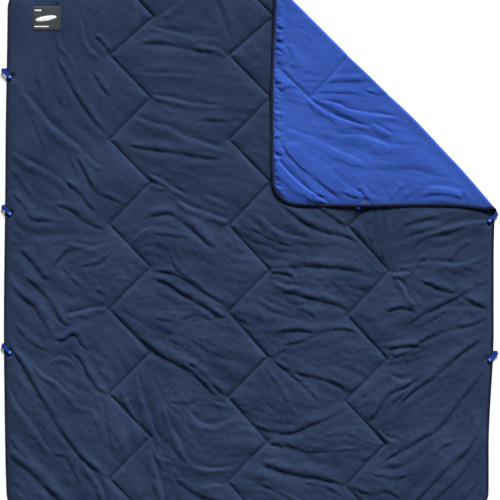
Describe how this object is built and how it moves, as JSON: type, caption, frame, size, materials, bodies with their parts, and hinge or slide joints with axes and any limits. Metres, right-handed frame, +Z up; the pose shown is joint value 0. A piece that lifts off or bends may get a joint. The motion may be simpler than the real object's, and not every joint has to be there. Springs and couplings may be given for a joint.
{
  "type": "camp blanket",
  "caption": "Quilted insulated blanket with a navy face, blue lining, bound hem and snap loops, laid flat with one corner folded over.",
  "frame": {"origin": "on the ground under the middle of the blanket", "axes": "+Z up from the ground, +Y towards the upper edge, where the label and the folded corner are, +X towards the folded corner's side"},
  "size_m": [1.8656, 1.98, 0.0289],
  "materials": {
    "navy_face": "soft matte woven polyester",
    "blue_lining": "soft woven polyester with a slight sheen",
    "padding": "white polyester wadding",
    "binding_tape": "ribbed woven tape",
    "navy_thread": "polyester thread",
    "blue_thread": "polyester thread",
    "label_cloth": "black woven patch with a plain pale geometric figure",
    "blue_ribbon": "ribbed grosgrain ribbon",
    "blue_snap_cap": "glossy enamel",
    "snap_steel": "bright stamped steel"
  },
  "bodies": {
    "blanket": {"binding_stitching": "navy_thread", "edge_binding": "binding_tape", "fold_batt": "padding", "fold_binding": "binding_tape", "fold_lining": "blue_lining", "fold_shell": "navy_face", "insulation_batt": "padding", "label_stitching": "navy_thread", "lining_panel": "blue_lining", "loop_root_left_lower": "blue_ribbon", "loop_root_left_middle": "blue_ribbon", "loop_root_left_upper": "blue_ribbon", "loop_root_right_lower": "blue_ribbon", "loop_root_right_middle": "blue_ribbon", "loop_turn_left_lower": "blue_ribbon", "loop_turn_left_middle": "blue_ribbon", "loop_turn_left_upper": "blue_ribbon", "loop_turn_right_lower": "blue_ribbon", "loop_turn_right_middle": "blue_ribbon", "quilt_stitching_centre": "navy_thread", "quilt_stitching_left": "navy_thread", "quilt_stitching_right": "navy_thread", "shell_panel": "navy_face", "snap_rings": "snap_steel", "snap_studs": "snap_steel", "woven_label": "label_cloth"},
    "corner": {"corner_batt": "padding", "corner_binding": "binding_tape", "corner_binding_stitching": "navy_thread", "corner_lining": "blue_lining", "corner_loop_root": "blue_ribbon", "corner_loop_strap": "blue_ribbon", "corner_loop_turn": "blue_ribbon", "corner_quilt_stitching": "blue_thread", "corner_shell": "navy_face", "corner_snap_cap": "blue_snap_cap", "corner_snap_ring": "snap_steel", "corner_snap_socket": "snap_steel", "corner_snap_stud": "snap_steel"},
    "strap_left_upper": {"loop_strap_left_upper": "blue_ribbon", "snap_cap_left_upper": "blue_snap_cap", "snap_socket_left_upper": "snap_steel"},
    "strap_left_middle": {"loop_strap_left_middle": "blue_ribbon", "snap_cap_left_middle": "blue_snap_cap", "snap_socket_left_middle": "snap_steel"},
    "strap_left_lower": {"loop_strap_left_lower": "blue_ribbon", "snap_cap_left_lower": "blue_snap_cap", "snap_socket_left_lower": "snap_steel"},
    "strap_right_middle": {"loop_strap_right_middle": "blue_ribbon", "snap_cap_right_middle": "blue_snap_cap", "snap_socket_right_middle": "snap_steel"},
    "strap_right_lower": {"loop_strap_right_lower": "blue_ribbon", "snap_cap_right_lower": "blue_snap_cap", "snap_socket_right_lower": "snap_steel"}
  },
  "joints": [
    {"name": "corner_fold", "type": "hinge", "parent": "blanket", "child": "corner", "pos_m": [0.5025, 0.5775, 0.0142], "axis": [-0.7071, 0.7071, 0], "range_deg": [0, 179], "deforming": ["fold_shell", "fold_batt", "fold_lining", "fold_binding"]},
    {"name": "snap_strap_left_upper", "type": "hinge", "parent": "blanket", "child": "strap_left_upper", "pos_m": [-0.927, 0.674, 0.0058], "axis": [-0.3827, -0.9239, 0], "range_deg": [0, 175], "deforming": ["loop_turn_left_upper"]},
    {"name": "snap_strap_left_middle", "type": "hinge", "parent": "blanket", "child": "strap_left_middle", "pos_m": [-0.927, 0.162, 0.0058], "axis": [-0.3827, -0.9239, 0], "range_deg": [0, 175], "deforming": ["loop_turn_left_middle"]},
    {"name": "snap_strap_left_lower", "type": "hinge", "parent": "blanket", "child": "strap_left_lower", "pos_m": [-0.927, -0.358, 0.0058], "axis": [-0.3827, -0.9239, 0], "range_deg": [0, 175], "deforming": ["loop_turn_left_lower"]},
    {"name": "snap_strap_right_middle", "type": "hinge", "parent": "blanket", "child": "strap_right_middle", "pos_m": [0.927, 0.136, 0.0058], "axis": [-0.3827, 0.9239, 0], "range_deg": [0, 175], "deforming": ["loop_turn_right_middle"]},
    {"name": "snap_strap_right_lower", "type": "hinge", "parent": "blanket", "child": "strap_right_lower", "pos_m": [0.927, -0.386, 0.0058], "axis": [-0.3827, 0.9239, 0], "range_deg": [0, 175], "deforming": ["loop_turn_right_lower"]}
  ]
}
